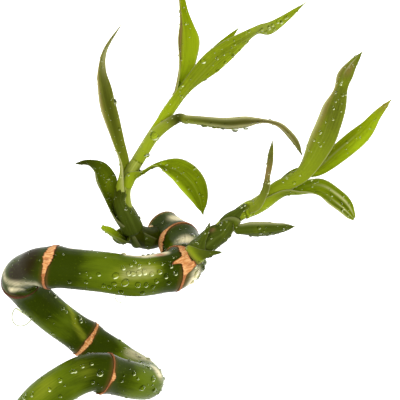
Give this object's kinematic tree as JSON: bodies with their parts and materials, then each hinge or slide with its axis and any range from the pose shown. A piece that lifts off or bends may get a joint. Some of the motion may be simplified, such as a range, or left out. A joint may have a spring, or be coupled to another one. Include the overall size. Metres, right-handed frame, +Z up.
{
  "type": "lucky bamboo",
  "caption": "Curly green cane wound in a spiral, with dry leaf-scar rings and leafy shoots at its top, cut and lying on a surface as a decorative plant.",
  "frame": {"origin": "on the surface it lies on, under the middle of its outline seen from above", "axes": "+Z up off the surface, +Y from the foot of the cane to the tips of the shoots, +X to the right, seen from above"},
  "size_m": [0.1704, 0.308, 0.0601],
  "materials": {
    "cane": "gloss",
    "ring": "matte",
    "stem": "satin",
    "leaf_bright": "satin",
    "leaf_green": "satin",
    "leaf_olive": "satin",
    "leaf_dark": "satin",
    "cut_end": "matte",
    "water": "polished"
  },
  "bodies": {
    "root": {"left_leaf_top": "leaf_bright", "left_leaf_behind": "leaf_bright", "left_leaf_long": "leaf_bright", "right_leaf_upper": "leaf_bright", "left_leaf_drooping": "leaf_green", "right_leaf_tall": "leaf_green", "right_leaf_drooping": "leaf_green", "left_leaf_level": "leaf_olive", "left_leaf_tall": "leaf_olive", "right_leaf_slender": "leaf_olive", "left_leaf_dark": "leaf_dark", "left_bract_front": "leaf_dark", "left_bract_cupped": "leaf_dark", "right_bract_behind": "leaf_dark", "right_leaf_level": "leaf_dark", "right_bract_round": "leaf_dark", "right_bract_pointed": "leaf_dark", "right_bract_lower": "leaf_dark", "ring_foot": "ring", "ring_lower_turn": "ring", "ring_lower_left": "ring", "ring_front_arch": "ring", "ring_back": "ring", "ring_left_bend": "ring", "ring_front_left": "ring", "ring_right_shoot": "ring", "ring_left_shoot": "ring", "left_stem": "stem", "right_stem": "stem", "cane": "cane"}
  },
  "joints": []
}
